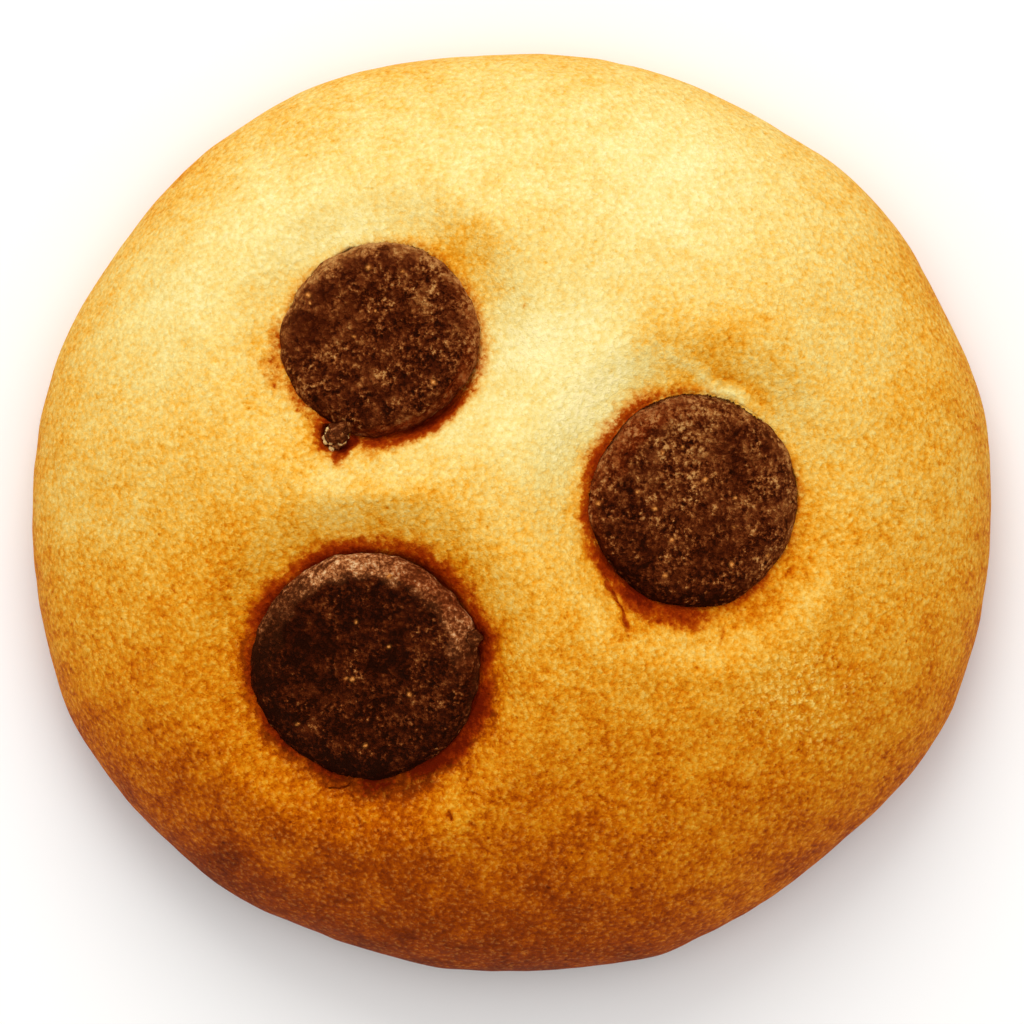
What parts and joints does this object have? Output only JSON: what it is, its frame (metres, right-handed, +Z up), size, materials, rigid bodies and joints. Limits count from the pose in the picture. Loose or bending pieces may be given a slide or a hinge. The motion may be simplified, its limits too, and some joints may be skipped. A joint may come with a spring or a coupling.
{
  "type": "chocolate chip cookie",
  "caption": "Small puffed golden cookie on a flat base, its domed top dimpled round large round flat chocolate chips.",
  "frame": {"origin": "middle of the flat base, under the middle of the outline", "axes": "+Z up out of the dome, +X along the widest way across, +Y towards the side with the paler crust"},
  "size_m": [0.048, 0.0459, 0.0157],
  "materials": {
    "baked_dough": "golden baked dough, matt, with a fine crumb grain, browner towards the rim and the base",
    "chocolate": "dull dark chocolate that has been baked, mottled and slightly grainy, paler on its upper rims"
  },
  "bodies": {
    "root": {"dough": "baked_dough", "chip_upper_left": "chocolate", "chip_right": "chocolate", "chip_lower_left": "chocolate"}
  },
  "joints": []
}
